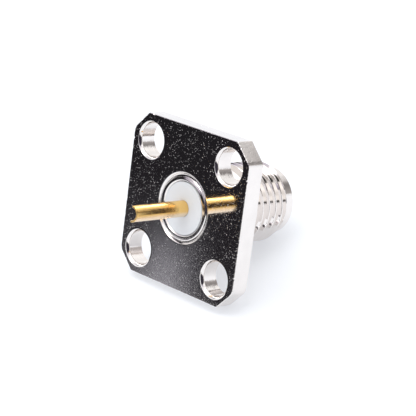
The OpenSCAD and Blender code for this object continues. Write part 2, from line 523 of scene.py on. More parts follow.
def grown_mesh(tree, values):
    """The plain mesh that a geometry tree makes with these values."""
    holder = new_object("holder", bpy.data.meshes.new("holder"))
    modifier = holder.modifiers.new("grown", "NODES")
    modifier.node_group = tree
    for item in tree.interface.items_tree:
        if item.in_out == "INPUT":
            modifier[item.identifier] = values[item.name]
    depsgraph = bpy.context.evaluated_depsgraph_get()
    mesh = bpy.data.meshes.new_from_object(holder.evaluated_get(depsgraph))
    holder.modifiers.remove(modifier)
    bpy.data.objects.remove(holder)
    return mesh


# Finishes


def effect_group(name, output, **numbers):
    """An empty shared effect: it reads Object coordinates and these numbers, and gives one number."""
    inputs = [("NodeSocketVector", "Vector", None)]
    inputs += [("NodeSocketFloat", label, default) for label, default in numbers.items()]
    tree, given, result = new_group(name, "ShaderNodeTree", inputs, [("NodeSocketFloat", output)])
    return Wires(tree), given, result[output]


# Span in which most of the grain's values lie, and its detail where a colour or gloss drifts
GRAIN_SPAN = (0.3, 0.7)
DRIFT_DETAIL = 3.0

# Pimples of the plate: their reach from the many small ones to the few large ones as a share of their cell,
# how few the large ones are, and where on their reach the foot and the flat top lie
PIMPLE_REACH = (0.08, 0.68)
PIMPLE_RARITY = 9.0
PIMPLE_DOME = (1.0, 0.1)

# Waves under the pimples: their height beside a pimple's, their scale beside the pimples' and their roughness
WAVE_HEIGHT = 0.11
WAVE_SCALE = 0.6
WAVE_ROUGHNESS = 0.55


def plating_grain_group():
    """Fine round pimples of a plated surface, on faint waves."""
    wires, given, result = effect_group("Plating Grain", "Height", Scale=9000.0, Share=0.3)
    cells = wires.node("ShaderNodeTexVoronoi", {"Vector": given["Vector"], "Scale": given["Scale"]}).outputs
    chance = wires.node("ShaderNodeSeparateColor", {0: cells["Color"]}).outputs
    kept = wires.math("LESS_THAN", chance["Red"], given["Share"])
    reach = wires.remap(wires.math("POWER", chance["Green"], PIMPLE_RARITY), 0, 1, *PIMPLE_REACH)
    dome = wires.remap(wires.math("DIVIDE", cells["Distance"], reach), *PIMPLE_DOME, kind="SMOOTHSTEP")
    pimples = wires.math("MULTIPLY", dome, kept)
    wave_scale = wires.math("MULTIPLY", given["Scale"], WAVE_SCALE)
    waves = wires.grain(given["Vector"], wave_scale, roughness=WAVE_ROUGHNESS)
    wires.link(wires.math("MULTIPLY_ADD", waves, WAVE_HEIGHT, pimples), result)
    return wires.tree


# Roughness of the rings that a tool leaves, the scale of the patches over which they come and go, and what
# is left of them where they are faintest
MARK_ROUGHNESS = 0.6
MARK_PATCHES = 2500.0
MARK_FAINTEST = 0.4


def turning_marks_group():
    """Rings left by the cutting tool round an axis along Y and, with Across, over faces across it."""
    wires, given, result = effect_group("Turning Marks", "Height", Scale=15000.0, Across=1.0)
    x, y, z = wires.axes(given["Vector"])
    radius = wires.vector("LENGTH", wires.join(x, 0.0, z)).outputs["Value"]
    along = wires.math("MULTIPLY_ADD", radius, given["Across"], y)
    rings = wires.node(
        "ShaderNodeTexNoise",
        {"W": along, "Scale": given["Scale"], "Detail": 2.0, "Roughness": MARK_ROUGHNESS},
        noise_dimensions="1D",
    ).outputs[0]
    broken = wires.remap(wires.grain(given["Vector"], MARK_PATCHES), *GRAIN_SPAN, MARK_FAINTEST, 1.0)
    wires.link(wires.math("MULTIPLY", rings, broken), result)
    return wires.tree


# The two sets of hairlines, each with its turn about all three axes in radians and its lines' length beside
# their width, and the span of grain over which a line's edge fades
HAIRLINE_SETS = ((0.5, 14.0), (2.1, 18.0))
HAIRLINE_EDGE = 0.06


def hairline_group():
    """Sparse hairline scratches in two directions."""
    wires, given, result = effect_group("Hairlines", "Scratches", Scale=1500.0, Sparseness=0.68)
    found = []
    for turn, stretch in HAIRLINE_SETS:
        placed = wires.node(
            "ShaderNodeMapping",
            {"Vector": given["Vector"], "Rotation": (turn, turn, turn), "Scale": (stretch, 1, 1)},
        ).outputs[0]
        streaks = wires.grain(placed, given["Scale"], detail=1.0)
        high = wires.math("ADD", given["Sparseness"], HAIRLINE_EDGE)
        found.append(wires.remap(streaks, given["Sparseness"], high))
    wires.link(wires.math("MAXIMUM", *found), result)
    return wires.tree


def shared_effect(name):
    """One of the shared node groups, built the first time that a finish asks for it."""
    makers = {
        "Plating Grain": plating_grain_group,
        "Turning Marks": turning_marks_group,
        "Hairlines": hairline_group,
    }
    return bpy.data.node_groups.get(name) or makers[name]()


class Finish:
    """A material with its shader, its wires and Object coordinates."""

    def __init__(self, name, **sockets):
        self.material = bpy.data.materials.new(name)
        self.material.use_nodes = True
        self.wires = Wires(self.material.node_tree)
        self.shader = self.material.node_tree.nodes["Principled BSDF"]
        self.place = self.wires.node("ShaderNodeTexCoord").outputs["Object"]
        self.set(**sockets)

    def set(self, **sockets):
        """Gives the shader's own sockets their plain values."""
        for key, value in sockets.items():
            self.shader.inputs[key.replace("_", " ")].default_value = value

    def feed(self, socket, value):
        self.wires.link(value, self.shader.inputs[socket])

    def effect(self, name, **inputs):
        """The number that a shared effect gives with this material's own values."""
        inputs["Vector"] = self.place
        return self.wires.node("ShaderNodeGroup", inputs, node_tree=shared_effect(name)).outputs[0]

    def drift(self, scale, span=GRAIN_SPAN, low=0.0, high=1.0):
        """A number that drifts between two values over the surface, within a span of the grain."""
        return self.wires.remap(self.wires.grain(self.place, scale, DRIFT_DETAIL), *span, low, high)

    def tint(self, colour, spread, scale=700.0, other=None, share=None):
        """Base colour that drifts a little over the surface, and gives way to another one by a share."""
        dark = tuple(part * (1 - spread) for part in colour) + (1,)
        bright = tuple(min(1, part * (1 + spread)) for part in colour) + (1,)
        base = self.wires.mix(self.drift(scale), dark, bright)
        self.feed("Base Color", base if other is None else self.wires.mix(share, base, (*other, 1)))

    def metal(self, colour, spread, **other):
        """Bare metal of a colour."""
        self.set(Metallic=1.0)
        self.tint(colour, spread, **other)

    def roughness(self, low, high, scale=1500.0, span=GRAIN_SPAN):
        self.feed("Roughness", self.drift(scale, span, low, high))

    def bump(self, height, depth):
        relief = self.wires.node("ShaderNodeBump", {"Height": height, "Distance": depth})
        self.feed("Normal", relief.outputs[0])

    def scratched(self, grain, lines, bite, depth):
        """Plating grain of a scale and share, into which hairlines of a scale and sparseness bite."""
        pimples = self.effect("Plating Grain", Scale=grain[0], Share=grain[1])
        scratches = self.effect("Hairlines", Scale=lines[0], Sparseness=lines[1])
        self.bump(self.wires.math("MULTIPLY_ADD", scratches, -bite, pimples), depth)

    def tooled(self, marks, grain, cover, depth, across=1.0):
        """A tool's marks of a scale, covered with plating grain of a scale and share."""
        rings = self.effect("Turning Marks", Scale=marks, Across=across)
        pimples = self.effect("Plating Grain", Scale=grain[0], Share=grain[1])
        self.bump(self.wires.math("MULTIPLY_ADD", pimples, cover, rings), depth)


def ground_nickel(finish, colours):
    """The flange's rear face: bright plate over a ground surface, full of fine pimples."""
    finish.metal(colours.nickel, spread=0.04)
    finish.scratched(grain=(17000.0, 0.3), lines=(700.0, 0.8), bite=0.5, depth=0.01 * MM)
    finish.roughness(low=0.03, high=0.25, scale=14000.0, span=(0.485, 0.8))


def milled_nickel(finish, colours):
    """The flange's sides and front face: bright plate over milled metal."""
    finish.metal(colours.nickel, spread=0.03)
    finish.scratched(grain=(7000.0, 0.25), lines=(1200.0, 0.7), bite=0.5, depth=0.0025 * MM)
    finish.roughness(low=0.07, high=0.14)


def turned_nickel(finish, colours):
    """The barrel and its bore: bright plate over turned metal."""
    finish.metal(colours.nickel, spread=0.03)
    finish.tooled(marks=14000.0, grain=(9000.0, 0.1), cover=0.4, depth=0.0008 * MM)
    finish.roughness(low=0.05, high=0.1)


def drilled_nickel(finish, colours):
    """The screw holes: bright plate over the drill's marks."""
    finish.metal(colours.nickel, spread=0.04)
    finish.tooled(marks=8000.0, grain=(9000.0, 0.2), cover=0.15, depth=0.008 * MM, across=0.0)
    finish.roughness(low=0.04, high=0.09)


def sawn_nickel(finish, colours):
    """The bevelled corners: duller plate over metal that was cut off and left as it was."""
    finish.metal(colours.nickel, spread=0.05)
    finish.scratched(grain=(6000.0, 0.4), lines=(1500.0, 0.62), bite=0.6, depth=0.004 * MM)
    finish.roughness(low=0.06, high=0.11)


def staked_nickel(finish, colours):
    """The lip and groove that the staking tool has rolled: plate with a softer gloss."""
    finish.metal(colours.nickel, spread=0.05)
    finish.tooled(marks=10000.0, grain=(8000.0, 0.3), cover=0.7, depth=0.003 * MM)
    finish.roughness(low=0.1, high=0.18)


# Painted reflection: heights between which the contact's gold turns pale towards its underside, where it
# mirrors the bright floor, the pale gold painted there, and how much of it shows there
PAINTED_REFLECTION_HEIGHTS = (-0.05 * MM, -0.3 * MM)
PAINTED_REFLECTION_GOLD = (0.94, 0.78, 0.6)
PAINTED_REFLECTION_SHARE = 0.85


def gold_plate(finish, colours):
    """The centre contact: bright gold plate over turned metal, with a painted reflection paling its
    underside.
    """
    height = finish.wires.axes(finish.place)["Z"]
    # Painted reflection: the gold turns pale towards the underside, by height alone
    pale = finish.wires.remap(height, *PAINTED_REFLECTION_HEIGHTS, 0.0, PAINTED_REFLECTION_SHARE)
    finish.metal(colours.gold, spread=0.06, other=PAINTED_REFLECTION_GOLD, share=pale)
    finish.tooled(marks=30000.0, grain=(14000.0, 0.35), cover=0.5, depth=0.004 * MM)
    finish.roughness(low=0.15, high=0.24, scale=2500.0)


def filed_gold(finish, colours):
    """The cup's end: gold plate over a filed edge."""
    finish.metal(colours.gold, spread=0.06)
    finish.bump(finish.effect("Plating Grain", Scale=20000.0, Share=0.6), depth=0.004 * MM)
    finish.roughness(low=0.38, high=0.5, scale=2500.0)


def white_insulator(finish, colours):
    """The insulator: smooth waxy plastic, faced on a lathe."""
    finish.set(IOR=1.38, Subsurface_Weight=0.15, Subsurface_Scale=0.4 * MM)
    finish.set(Subsurface_Radius=(1.0, 0.95, 0.9))
    finish.tint(colours.insulator, spread=0.015, scale=900.0)
    finish.bump(finish.effect("Turning Marks", Scale=16000.0), depth=0.001 * MM)
    finish.roughness(low=0.32, high=0.45, scale=3000.0)


def finished(maker):
    """The material that a finish's function fills in, made once and named apart from the frame's own."""
    name = "jack_" + maker.__name__
    if name not in bpy.data.materials:
        maker(Finish(name), bpy.context.scene.jack_finish)
    return bpy.data.materials[name]


NICKELS = (ground_nickel, milled_nickel, turned_nickel, sawn_nickel, staked_nickel, drilled_nickel)
GROUND, MILLED, TURNED, SAWN, STAKED, DRILLED = range(len(NICKELS))
FILED = 1


# Pieces


# Fewest steps round a corner of the rim
LEAST_STEPS = 4


def rim_outline(flange):
    """Points and outward directions along the rim of the flange, with rounded corners."""
    half = flange.side / 2
    cut = half - flange.corner_cut
    corners = [Vector(corner) for corner in ((half, -cut), (half, cut), (cut, half), (-cut, half))]
    corners += [-corner for corner in corners]

    def rounding(corner):
        return flange.side_round if abs(corner.x) > abs(corner.y) else flange.corner_round

    points = []
    for k, corner in enumerate(corners):
        after = corners[(k + 1) % len(corners)]
        back = (corners[k - 1] - corner).normalized()
        ahead = (after - corner).normalized()
        bend = math.pi - back.angle(ahead)
        radius = rounding(corner)
        leg = radius * math.tan(bend / 2)
        normal = Vector((-back.y, back.x))
        centre = corner + back * leg - normal * radius
        steps = max(LEAST_STEPS, round(bend * radius / flange.edge_step))
        for step in range(steps + 1):
            sine, cosine = math.sin(bend * step / steps), math.cos(bend * step / steps)
            direction = Vector((normal.x * cosine - normal.y * sine, normal.x * sine + normal.y * cosine))
            points.append((centre + direction * radius, direction))
        straight = (after - corner).length - leg - rounding(after) * math.tan(bend / 2)
        count = max(1, round(straight / flange.edge_step))
        start, direction = points[-1]
        for step in range(1, count):
            points.append((start + ahead * straight * step / count, direction))
    return points


# Raggedness of the broken edges: how often each wave comes in a millimetre and how strong it is, how much of
# the edge's width they all change, and the share of the width that is always left
RAGGED_WAVES = ((6.0, 0.5), (15.0, 0.4))
RAGGED_SHARE = 0.7
LEAST_BREAK = 0.2

# Nicks of the broken edges: how often they come in a millimetre, where they start in the noise, and the level
# that it has to pass
NICK_WAVES = 3.1
NICK_START = Vector((7, 3, 1))
NICK_LEVEL = 0.3


def edge_wear(point, flange, seed):
    """Width of the broken edge at a point of the rim: a ragged line with a few nicks."""
    spot = Vector((point.x, seed * MM, point.y)) / MM
    ragged = sum(noise.noise(spot * often) * strength for often, strength in RAGGED_WAVES)
    nick = max(0.0, noise.noise(spot * NICK_WAVES + NICK_START) - NICK_LEVEL) / (1 - NICK_LEVEL)
    width = flange.edge_break * (1 + RAGGED_SHARE * ragged) + flange.burr * nick
    return max(LEAST_BREAK * flange.edge_break, width)


# Depth of the rear edge's break beside its width, width of the front edge's break beside the rear one's, how
# far a bevel's outward direction points along both sides, and width of the holes' burr beside its height
BREAK_SLOPE = 0.8
FRONT_WEAR = 0.6
BEVEL_LEAN = 0.3
BURR_SLOPE = 3


def flange_skin(skin, flange, neck_ring, groove_ring):
    """Adds the flange's two faces, rim and screw holes, between the neck's ring and the groove's ring."""
    rim = rim_outline(flange)

    def rim_loop(station, inset):
        return skin.loop(
            [
                (point.x - out.x * depth, station + rise, point.y - out.y * depth)
                for (point, out), (depth, rise) in zip(rim, inset)
            ]
        )

    rear_wear = [edge_wear(point, flange, seed=1) for point, _ in rim]
    front_wear = [FRONT_WEAR * edge_wear(point, flange, seed=2) for point, _ in rim]
    rear_face = rim_loop(0, [(wear, 0) for wear in rear_wear])
    rear_side = rim_loop(0, [(0, BREAK_SLOPE * wear) for wear in rear_wear])
    front_side = rim_loop(flange.thickness, [(0, -wear) for wear in front_wear])
    front_face = rim_loop(flange.thickness, [(wear, 0) for wear in front_wear])
    sides = [SAWN if min(abs(out.x), abs(out.y)) > BEVEL_LEAN else MILLED for _, out in rim]
    skin.rows([rear_face, rear_side, front_side, front_face], sides)

    place = flange.hole_spacing / 2
    radius = flange.hole_radius
    lead = flange.edge_break
    rim_radius = radius + flange.hole_round
    burr_top = (rim_radius - BURR_SLOPE * flange.hole_burr, -flange.hole_burr)
    profile = [
        (rim_radius + 2 * lead, 0),
        (rim_radius, 0),
        *rolled_rim(burr_top, (radius, flange.hole_round), flange.hole_roll),
        (radius, flange.hole_round + lead),
        (radius, flange.thickness - 2 * lead),
        (radius, flange.thickness - lead),
        (radius + lead, flange.thickness),
    ]
    rear_rings, front_rings = [], []
    for x in (-place, place):
        for z in (-place, place):
            rings = skin.turned(profile, flange.hole_sides, DRILLED, (x, z))
            rear_rings.append(rings[0])
            front_rings.append(rings[-1])
    skin.plate(rear_face, [*rear_rings, groove_ring], GROUND)
    skin.plate(front_face, [*front_rings, neck_ring], MILLED)


# How fast the press on the lip fades from the bearing where it is hardest
PRESS_FADE = 1.5


def lean_lip(skin, rings, barrel, radii):
    """Presses the lip down towards its groove, most at one bearing and a little on the far side."""
    lip, groove_inner, groove_bottom = radii
    for corner in (corner for ring in rings for corner in ring):
        x, station, z = skin.points[corner]
        radius = math.hypot(x, z)
        near = math.cos(math.atan2(z, x) - barrel.lip_bearing)
        press = abs(near) ** PRESS_FADE * math.tan(barrel.lip_lean if near > 0 else barrel.lip_far_lean)
        if lip < radius < groove_bottom:
            run = min(radius, groove_inner) - lip
            left = min(1, (groove_bottom - radius) / (groove_bottom - groove_inner))
            skin.points[corner] = (x, station + press * run * left, z)


# Depth of the thread and width of its flat crests, as shares of the pitch
THREAD_DEPTH = 0.6134
CREST_SHARE = 1 / 8


def flanged_body():
    """Flange and threaded barrel, turned and milled from one bar."""
    scene = bpy.context.scene
    flange, barrel = scene.jack_flange, scene.jack_barrel
    skin = Skin()
    thread_rear = flange.thickness + barrel.neck_length
    thread_front = barrel.reach - barrel.nose_length

    neck = [(barrel.neck_radius, flange.thickness), (barrel.neck_radius, thread_rear)]
    neck_rings = skin.turned(neck, barrel.sides, TURNED)

    bore = scene.jack_insulator.radius + barrel.bore_gap
    bevel = barrel.nose_bevel
    lip = bore + barrel.lip_bevel
    groove_inner = lip + barrel.lip_width
    groove_bottom = groove_inner + barrel.groove_inner_run
    groove_outer = groove_bottom + barrel.groove_outer_run
    inside = rounded(
        [
            (barrel.nose_radius, thread_front),
            (barrel.nose_radius, barrel.reach - bevel),
            (barrel.nose_radius - bevel, barrel.reach),
            (barrel.mating_radius + bevel, barrel.reach),
            (barrel.mating_radius, barrel.reach - bevel),
            (barrel.mating_radius, barrel.mating_face),
            (bore, barrel.mating_face),
            (bore, 2 * barrel.lip_bevel),
        ],
        barrel.edge_round,
    )
    staked = rounded(
        [
            (bore, 2 * barrel.lip_bevel),
            (bore, barrel.lip_bevel),
            (lip, 0),
            (groove_inner, 0),
            (groove_bottom, barrel.groove_depth),
            (groove_outer, 0),
            (groove_outer + 2 * barrel.stake_round, 0),
        ],
        barrel.stake_round,
        steps=6,
    )
    skin.turned(inside, barrel.sides, TURNED)
    rings = skin.turned(staked, barrel.sides, STAKED)
    lean_lip(skin, rings, barrel, (lip, groove_inner, groove_bottom))
    flange_skin(skin, flange, neck_rings[0], rings[-1])

    thread = grown_mesh(
        thread_tree(),
        {
            "Pitch": barrel.pitch,
            "Crest Radius": barrel.thread_radius,
            "Root Radius": barrel.thread_radius - THREAD_DEPTH * barrel.pitch,
            "Crest Flat": CREST_SHARE * barrel.pitch,
            "Flank Slope": 1 / math.tan(barrel.flank_angle / 2),
            "Rounding": barrel.thread_round,
            "Rear Station": thread_rear,
            "Front Station": thread_front,
            "Rear Radius": barrel.neck_radius,
            "Front Radius": barrel.nose_radius,
            "Phase": TURN * round(barrel.thread_phase / TURN * barrel.sides) / barrel.sides,
            "Turns": math.ceil((thread_front - thread_rear) / barrel.pitch) + 1,
            "Sides": barrel.sides,
            "Rows": barrel.pitch_rows,
            "Material": finished(turned_nickel),
        },
    )
    thread.polygons.foreach_set("material_index", [TURNED] * len(thread.polygons))
    return skin.piece("flanged_body", [finished(maker) for maker in NICKELS], thread)


def insulator():
    """White insulator with its passage for the contact."""
    scene = bpy.context.scene
    sizes, contact = scene.jack_insulator, scene.jack_contact
    passage = contact.radius + sizes.passage_gap
    seat = passage + contact.collar_height
    seat_rear = contact.collar_place - sizes.passage_gap
    seat_front = contact.collar_place + contact.collar_length + sizes.passage_gap
    relief = contact.radius + sizes.finger_room
    relief_rear = contact.front - contact.slot_length
    profile = [
        (passage, sizes.rear - sizes.bulge),
        (sizes.radius, sizes.rear - sizes.bulge),
        (sizes.radius, sizes.front),
        (relief, sizes.front),
        (relief, relief_rear),
        (passage, relief_rear),
        (passage, seat_front),
        (seat, seat_front - contact.collar_height),
        (seat, seat_rear),
        (passage, seat_rear),
    ]
    skin = Skin()
    rings = skin.turned(rounded(profile, sizes.edge_round), sizes.sides)
    skin.strip(rings[-1], rings[0])
    return skin.piece("insulator", [finished(white_insulator)])


# Fingers of the socket, and half of the angle of a drill's point
FINGERS = 4
DRILL_POINT = math.radians(59)


def contact_turns(contact, radius):
    """Turns of the points round the contact: four fingers' arcs, with the slots as the gaps between them."""
    gap = math.asin(contact.slot_width / 2 / radius) / TURN
    count = contact.quarter_sides
    turns = []
    for finger in range(FINGERS):
        first = (finger + 0.5) / FINGERS + gap
        last = (finger + 1.5) / FINGERS - gap
        turns += [first + (last - first) * k / count for k in range(count + 1)]
    return turns


def join_rings(skin, first, second):
    """Triangles between two rings on one circle's axis whose points lie at different turns."""

    def turn(index):
        x, _, z = skin.points[index]
        return math.atan2(z, x) % TURN

    a = sorted(first, key=turn)
    b = sorted(second, key=turn)
    i = j = 0
    while i < len(a) or j < len(b):
        next_a = turn(a[(i + 1) % len(a)]) + (TURN if i + 1 >= len(a) else 0)
        next_b = turn(b[(j + 1) % len(b)]) + (TURN if j + 1 >= len(b) else 0)
        if j >= len(b) or (i < len(a) and next_a <= next_b):
            skin.face((a[i % len(a)], a[(i + 1) % len(a)], b[j % len(b)]))
            i += 1
        else:
            skin.face((b[j % len(b)], b[(j + 1) % len(b)], a[i % len(a)]))
            j += 1


def add_fingers(skin, contact, shaft_end):
    """Adds the slotted fingers from the shaft's last ring to the socket's mouth, and the socket's bottom."""
    per_finger = contact.quarter_sides + 1
    total = FINGERS * per_finger
    slots = range(per_finger - 1, total, per_finger)

    def ring(radius, station):
        return skin.arc(radius, station, contact_turns(contact, radius))

    outer, inner, mouth = contact.radius, contact.socket_radius, contact.mouth_bevel
    outside = [shaft_end, ring(outer, contact.front - mouth), ring(outer - mouth, contact.front)]
    inside = [
        ring(inner, contact.front - contact.slot_length),
        ring(inner, contact.front - mouth),
        ring(inner + mouth, contact.front),
    ]
    spans = [*zip(outside, outside[1:]), (outside[-1], inside[-1]), *zip(inside, inside[1:])]
    for first, second in spans:
        for k in range(total):
            if k not in slots:
                nxt = (k + 1) % total
                skin.face((first[k], first[nxt], second[nxt], second[k]))
    for k in slots:
        nxt = (k + 1) % total
        skin.face((outside[0][k], outside[0][nxt], inside[0][nxt], inside[0][k]))
        for side in (k, nxt):
            skin.face([row[side] for row in outside + inside[::-1]])
    bottom = ring(inner, contact.front - contact.socket_depth)
    skin.strip(inside[0], bottom)
    skin.cap(bottom, (0, contact.front - contact.socket_depth - inner / math.tan(DRILL_POINT), 0))


def add_cup(skin, contact, shaft_start):
    """Adds the solder cup: a drilled hole of which half the wall is left standing past the shoulder."""
    outer, inner, trim = contact.radius, contact.cup_radius, contact.edge_round
    end = -contact.rear
    shoulder, floor = end + contact.cup_cut, end + contact.cup_depth
    half = contact.quarter_sides * 2
    kept_turns = [-0.25 + 0.5 * k / half for k in range(half + 1)]
    cut_turns = [0.25 + 0.5 * k / half for k in range(1, half)]
    count = len(kept_turns)
    outer_ring, inner_ring = (skin.arc(radius, shoulder, kept_turns + cut_turns) for radius in (outer, inner))
    bottom = skin.arc(inner, floor, kept_turns + cut_turns)
    skin.strip(inner_ring, bottom)
    skin.cap(bottom, (0, floor + inner / math.tan(DRILL_POINT), 0))
    join_rings(skin, shaft_start, outer_ring)

    outside, inside = (
        [ring[:count], skin.arc(radius, end + trim, kept_turns), skin.arc(rim, end, kept_turns)]
        for ring, radius, rim in ((outer_ring, outer, outer - trim), (inner_ring, inner, inner + trim))
    )
    skin.rows(outside[:2], closed=False)
    skin.rows(outside[1:], FILED, closed=False)
    skin.rows(inside, closed=False)
    skin.strip(outside[-1], inside[-1], FILED, closed=False)
    for edge in (0, -1):
        skin.face([row[edge] for row in outside + inside[::-1]])
    cut_outer, cut_inner = (ring[count - 1:] + ring[:1] for ring in (outer_ring, inner_ring))
    skin.strip(cut_outer, cut_inner, closed=False)


def centre_contact():
    """Gold contact, from the half-round solder cup to the slotted socket."""
    contact = bpy.context.scene.jack_contact
    skin = Skin()
    outer, collar = contact.radius, contact.radius + contact.collar_height
    collar_front = contact.collar_place + contact.collar_length
    profile = [
        (outer, contact.cup_cut - contact.rear),
        (outer, contact.collar_place),
        (collar, contact.collar_place),
        (collar, collar_front - contact.collar_height),
        (outer, collar_front),
        (outer, contact.front - contact.slot_length),
    ]
    shaft = [skin.arc(radius, station, contact_turns(contact, radius)) for radius, station in profile]
    skin.rows(shaft)
    add_fingers(skin, contact, shaft[-1])
    add_cup(skin, contact, shaft[0])
    return skin.piece("centre_contact", [finished(gold_plate), finished(filed_gold)], crease=30)


# Stage


# Width of the camera's sensor in millimetres, and the nearest and farthest that it sees in metres
SENSOR_WIDTH = 36
CLIP_NEAR_FAR = (0.005, 20)


def set_camera(stage):
    """Camera that looks at the aim from its azimuth and elevation, rolled about its line of sight."""
    data = bpy.data.cameras.new("camera")
    data.lens = stage.lens
    data.sensor_width = SENSOR_WIDTH
    data.clip_start, data.clip_end = CLIP_NEAR_FAR
    level = math.cos(stage.elevation)
    ahead = Vector(
        (-math.sin(stage.azimuth) * level, math.cos(stage.azimuth) * level, -math.sin(stage.elevation))
    )
    right = ahead.cross(Vector((0, 0, 1))).normalized()
    above = right.cross(ahead)
    rolled = right * math.cos(stage.roll) + above * math.sin(stage.roll)
    top = above * math.cos(stage.roll) - right * math.sin(stage.roll)
    camera = new_object("camera", data)
    turn = Matrix((rolled, top, -ahead)).transposed().to_4x4()
    camera.matrix_world = Matrix.Translation(Vector(stage.aim) - ahead * stage.distance) @ turn
    bpy.context.scene.camera = camera


# Light of the studio by height above its horizon in degrees. The floor covers what lies below the horizon.
# In front of the flange the room is dark, with a pale haze low on the left; a grey wall stands behind on the
# right, a thin dark line marks the horizon far to the right, and the rest is a bright tent
GROUND_LIGHT = ((-90, 1.1), (-1, 1.15))
HAZE_BANDS = GROUND_LIGHT + (
    (0, 0.65), (1.4, 0.43), (1.8, 0.36), (2.2, 0.285), (2.5, 0.21),
    (2.8, 0.155), (3.2, 0.1), (3.6, 0.04), (4.3, 0.016),
)
FRONT_BANDS = ((-90, 1.1), (-5, 1.1), (-3, 0.45), (-1.5, 0.1), (0, 0.04), (1.2, 0.02), (2.6, 0.016))
DARK_ROOM = ((36, 0.016), (43, 0.55), (56, 0.8), (70, 1.3), (90, 1.4))
WALL_BANDS = GROUND_LIGHT + (
    (0.5, 1.1), (1.7, 0.42), (8, 0.34), (14, 0.24), (16.5, 0.25),
    (18.05, 0.46), (19.05, 0.86), (20.1, 1.0), (24, 1.15), (90, 1.4),
)
RIGHT_BANDS = GROUND_LIGHT + ((-0.5, 0.03), (4.5, 0.03), (6, 1.2), (90, 1.4))
OPEN_BANDS = GROUND_LIGHT + ((6, 1.04), (18, 1.0), (24, 1.05), (34, 1.5), (44, 1.3), (90, 1.4))

# Tints of the dim light in the wall, the dark room and the haze
WALL_TINT = (1.03, 0.98, 0.97)
DARK_TINT = (0.99, 0.9, 1.11)
HAZE_TINT = (0.95, 0.96, 1.09)

# Where the parts of the room set in: how far a direction points along an axis, from none of the part to all
RIGHTWARDS, BACKWARDS, FORWARDS = (1, 0, 0), (0, 1, 0), (0, -1, 0)
RIGHT_AT = ((RIGHTWARDS, 0.84, 0.9), (BACKWARDS, 0.14, 0.22))
WALL_AT = ((RIGHTWARDS, -0.2, 0.0), (BACKWARDS, 0.35, 0.55))
FRONT_AT = ((FORWARDS, 0.05, 0.4), (RIGHTWARDS, 0.65, 0.45))

# The haze: the direction across it, the places along it where it ends and where it grows, and the shares of
# its light between which it grows
HAZE_ACROSS = (0.704, -0.71, -0.03)
HAZE_ENDS = (0.01, -0.005)
HAZE_GROWS = (-0.0245, -0.0055)
HAZE_SHARES = (0.1, 1.05)

# Round patches of the room, each with its light, its direction and the angles in degrees between which it
# fades: a soft box above, a dark gap beside it, and the dark camera, which stands on the horizon
SOFT_BOX = (5.5, 5.5, 5.5, 1)
SOFT_BOX_AT = (Vector((-0.19, -0.69, 0.7)), 15, 8)
GAP = (0.04, 0.04, 0.04, 1)
GAP_AT = (Vector((0.22, 0.18, 0.96)), 15, 11)
CAMERA = (0.042, 0.037, 0.052, 1)
CAMERA_AT = (Vector((0.705, -0.688, 0.17)), 30, 22)
CAMERA_FOOT = (0.0, 0.06)

# Light that the camera sees where there is neither floor nor jack
BACKDROP = (1.05, 1.05, 1.05, 1)


def light_bands(wires, rise, bands, tint=(1, 1, 1)):
    """Colour ramp of light over the sine of the height, tinted where the light is dim."""
    ramp = wires.node("ShaderNodeValToRGB", {0: wires.remap(rise, -1, 1)})
    elements = ramp.color_ramp.elements
    for height, light in bands:
        place = 0.5 + 0.5 * math.sin(math.radians(height))
        element = elements[0] if place == 0 else elements[-1] if place == 1 else elements.new(place)
        white = min(1, max(0, 2 * light - 1))
        element.color = (*(light * (part + (1 - part) * white) for part in tint), 1)
    return ramp.outputs[0]


def set_world(stage):
    """Soft studio all round, which leans with the jack: a white table, a dark room and a bright ceiling."""
    world = bpy.data.worlds.new("studio")
    bpy.context.scene.world = world
    world.use_nodes = True
    world.cycles.sampling_method = "NONE"
    wires = Wires(world.node_tree)
    world.node_tree.nodes.clear()
    way = wires.node("ShaderNodeTexCoord").outputs["Generated"]

    def along(direction):
        return wires.vector("DOT_PRODUCT", way, direction).outputs["Value"]

    def past(direction, low, high):
        """Soft step over how far the view points along a direction."""
        return wires.remap(along(direction), low, high, kind="SMOOTHSTEP")

    def where(first, second):
        """Soft part of the room where two steps meet."""
        return wires.math("MULTIPLY", past(*first), past(*second))

    def within(direction, outer, inner):
        """Soft round patch about a direction, between two angles from it in degrees."""
        return past(direction.normalized(), math.cos(math.radians(outer)), math.cos(math.radians(inner)))

    rise = along((0, -math.sin(stage.lean), math.cos(stage.lean)))
    haze = light_bands(wires, rise, HAZE_BANDS + DARK_ROOM, HAZE_TINT)
    front = light_bands(wires, rise, FRONT_BANDS + DARK_ROOM, DARK_TINT)
    grown = wires.remap(along(HAZE_ACROSS), *HAZE_GROWS, *HAZE_SHARES)
    front = wires.mix(wires.math("MULTIPLY", grown, past(HAZE_ACROSS, *HAZE_ENDS)), front, haze)
    room = light_bands(wires, rise, OPEN_BANDS)
    room = wires.mix(where(*RIGHT_AT), room, light_bands(wires, rise, RIGHT_BANDS))
    room = wires.mix(where(*WALL_AT), room, light_bands(wires, rise, WALL_BANDS, WALL_TINT))
    room = wires.mix(where(*FRONT_AT), room, front)
    room = wires.mix(within(*SOFT_BOX_AT), room, SOFT_BOX)
    room = wires.mix(within(*GAP_AT), room, GAP)
    camera = wires.math("MULTIPLY", within(*CAMERA_AT), wires.remap(rise, *CAMERA_FOOT))
    room = wires.mix(camera, room, CAMERA)
    path = wires.node("ShaderNodeLightPath").outputs
    lit = wires.mix(path["Is Diffuse Ray"], room, (stage.fill, stage.fill, stage.fill, 1))
    shown = wires.mix(path["Is Camera Ray"], lit, BACKDROP)
    background = wires.node("ShaderNodeBackground", {"Color": shown})
    wires.link(background.outputs[0], wires.node("ShaderNodeOutputWorld").inputs[0])


# Painted light: the floor's own glow near the jack and far from it, brighter near the jack to lighten the
# shadows there, and the distances between which it changes
PAINTED_FLOOR_LIGHT = (0.61, 0.44)
PAINTED_LIGHT_DISTANCES = (40 * MM, 120 * MM)

